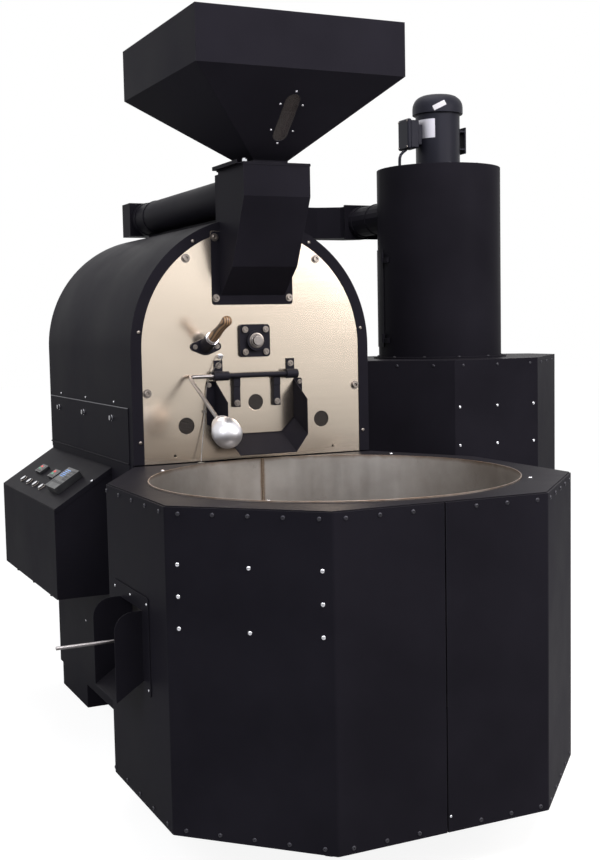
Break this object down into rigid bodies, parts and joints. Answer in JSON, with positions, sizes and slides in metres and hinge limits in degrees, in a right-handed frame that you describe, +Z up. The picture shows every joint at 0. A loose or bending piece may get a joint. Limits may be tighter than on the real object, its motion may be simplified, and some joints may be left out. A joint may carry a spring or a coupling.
{
  "type": "coffee roaster",
  "caption": "Floor-standing drum coffee roaster with feed hopper, stainless face, round cooling bin with stirrer, sloping control console, and a chaff cyclone on its own cabinet",
  "frame": {"origin": "middle of the bounding box on the floor", "axes": "+X to the right as seen from the cooling bin, +Y from the cooling bin to the back of the roaster, +Z up"},
  "size_m": [2.9184, 2.996, 2.7613],
  "materials": {
    "black_powder_coat": "satin black powder coat with a fine grain",
    "brushed_stainless": "brushed stainless steel with level grain lines",
    "raw_stainless": "dull mill-finish stainless steel, heat tinted at the welds",
    "bright_steel": "bright drawn or plated steel",
    "black_cast": "black painted casting, slightly rough",
    "dark_glass": "flat clear glass over a dark inside",
    "turned_aluminium": "turned aluminium with milled flats",
    "laminated_wood": "oiled hardwood laminated in dark and light stripes",
    "braided_lead": "thin grey armoured sensor lead",
    "panel_plastic": "fine-grained black instrument plastic"
  },
  "bodies": {
    "machine": {"bin_frame": "black_cast", "bin_panel_left": "black_powder_coat", "bin_panel_right": "black_powder_coat", "bin_top_plate": "black_powder_coat", "bin_wall": "raw_stainless", "bin_screen": "raw_stainless", "stirrer_gearbox": "black_cast", "unload_chute": "black_powder_coat", "base_cabinet": "black_powder_coat", "housing_shell": "black_powder_coat", "housing_rim": "black_powder_coat", "face_plate": "brushed_stainless", "rear_plate": "black_powder_coat", "front_bearing": "black_cast", "rear_bearing": "black_cast", "drum_gearmotor": "black_cast", "burner_rack": "bright_steel", "side_door_hinge": "black_powder_coat", "sight_glass_left": "dark_glass", "sight_glass_right": "dark_glass", "hinge_bracket_left": "black_cast", "hinge_bracket_right": "black_cast", "discharge_chute": "black_powder_coat", "trier_guide": "black_cast", "probe_fitting": "bright_steel", "probe_cable": "braided_lead", "feed_chute": "black_powder_coat", "hopper": "black_powder_coat", "hopper_window": "dark_glass", "exhaust_pipe": "black_powder_coat", "exhaust_cross_duct": "black_powder_coat", "cyclone_inlet": "black_powder_coat", "cyclone_body": "black_powder_coat", "blower_motor": "black_cast", "terminal_box": "black_cast", "chaff_cabinet": "black_powder_coat", "console_body": "black_powder_coat", "console_cover": "black_powder_coat", "controller_1": "panel_plastic", "controller_2": "panel_plastic", "program_controller": "panel_plastic"},
    "drum": {"drum": "raw_stainless", "drum_shaft": "bright_steel"},
    "discharge_door": {"discharge_door": "brushed_stainless", "door_glass": "dark_glass", "door_shaft": "black_cast", "door_lever": "bright_steel", "lever_knob": "turned_aluminium"},
    "trier": {"trier_scoop": "bright_steel", "trier_handle": "laminated_wood"},
    "feed_gate": {"slide_gate": "black_powder_coat"},
    "unload_gate": {"unload_gate": "bright_steel"},
    "stirrer": {"bin_stirrer": "raw_stainless"},
    "side_door": {"side_door": "black_powder_coat"},
    "cyclone_door": {"cyclone_door": "black_powder_coat"},
    "blower": {"blower_wheel": "bright_steel"},
    "switch_1": {"switch_1": "bright_steel"},
    "switch_2": {"switch_2": "bright_steel"},
    "switch_3": {"switch_3": "bright_steel"},
    "switch_4": {"switch_4": "bright_steel"}
  },
  "joints": [
    {"name": "drum_spin", "type": "hinge", "parent": "machine", "child": "drum", "pos_m": [-0.47175, 0.506, 1.614], "axis": [0, 1, 0], "continuous": true},
    {"name": "discharge_door_swing", "type": "hinge", "parent": "machine", "child": "discharge_door", "pos_m": [-0.47175, -0.124, 1.481], "axis": [-1, 0, 0], "range_deg": [0, 70]},
    {"name": "trier_slide", "type": "slide", "parent": "machine", "child": "trier", "axis": [0, -0.9205, 0.3907], "range_m": [0, 0.19]},
    {"name": "feed_gate_slide", "type": "slide", "parent": "machine", "child": "feed_gate", "axis": [-1, 0, 0], "range_m": [0, 0.2]},
    {"name": "unload_gate_swing", "type": "hinge", "parent": "machine", "child": "unload_gate", "pos_m": [-1.16925, -0.773, 0.78], "axis": [0, 1, 0], "range_deg": [0, 75]},
    {"name": "stirrer_spin", "type": "hinge", "parent": "machine", "child": "stirrer", "pos_m": [-0.47175, -0.773, 0.8], "axis": [0, 0, 1], "continuous": true},
    {"name": "side_door_swing", "type": "hinge", "parent": "machine", "child": "side_door", "pos_m": [-0.97925, 0.55, 1.155], "axis": [0, -1, 0], "range_deg": [0, 100]},
    {"name": "cyclone_door_swing", "type": "hinge", "parent": "machine", "child": "cyclone_door", "pos_m": [0.53954, 0.68448, 1.791], "axis": [0, 0, 1], "range_deg": [0, 100]},
    {"name": "blower_spin", "type": "hinge", "parent": "machine", "child": "blower", "pos_m": [0.84825, 0.671, 2.34], "axis": [0, 0, 1], "continuous": true},
    {"name": "switch_1_press", "type": "slide", "parent": "machine", "child": "switch_1", "axis": [0.5378, 0, -0.8431], "range_m": [0, 0.003], "stiffness_N_per_m": 300, "springref_m": -0.003},
    {"name": "switch_2_press", "type": "slide", "parent": "machine", "child": "switch_2", "axis": [0.5378, 0, -0.8431], "range_m": [0, 0.003], "stiffness_N_per_m": 300, "springref_m": -0.003},
    {"name": "switch_3_press", "type": "slide", "parent": "machine", "child": "switch_3", "axis": [0.5378, 0, -0.8431], "range_m": [0, 0.003], "stiffness_N_per_m": 300, "springref_m": -0.003},
    {"name": "switch_4_press", "type": "slide", "parent": "machine", "child": "switch_4", "axis": [0.5378, 0, -0.8431], "range_m": [0, 0.003], "stiffness_N_per_m": 300, "springref_m": -0.003}
  ]
}
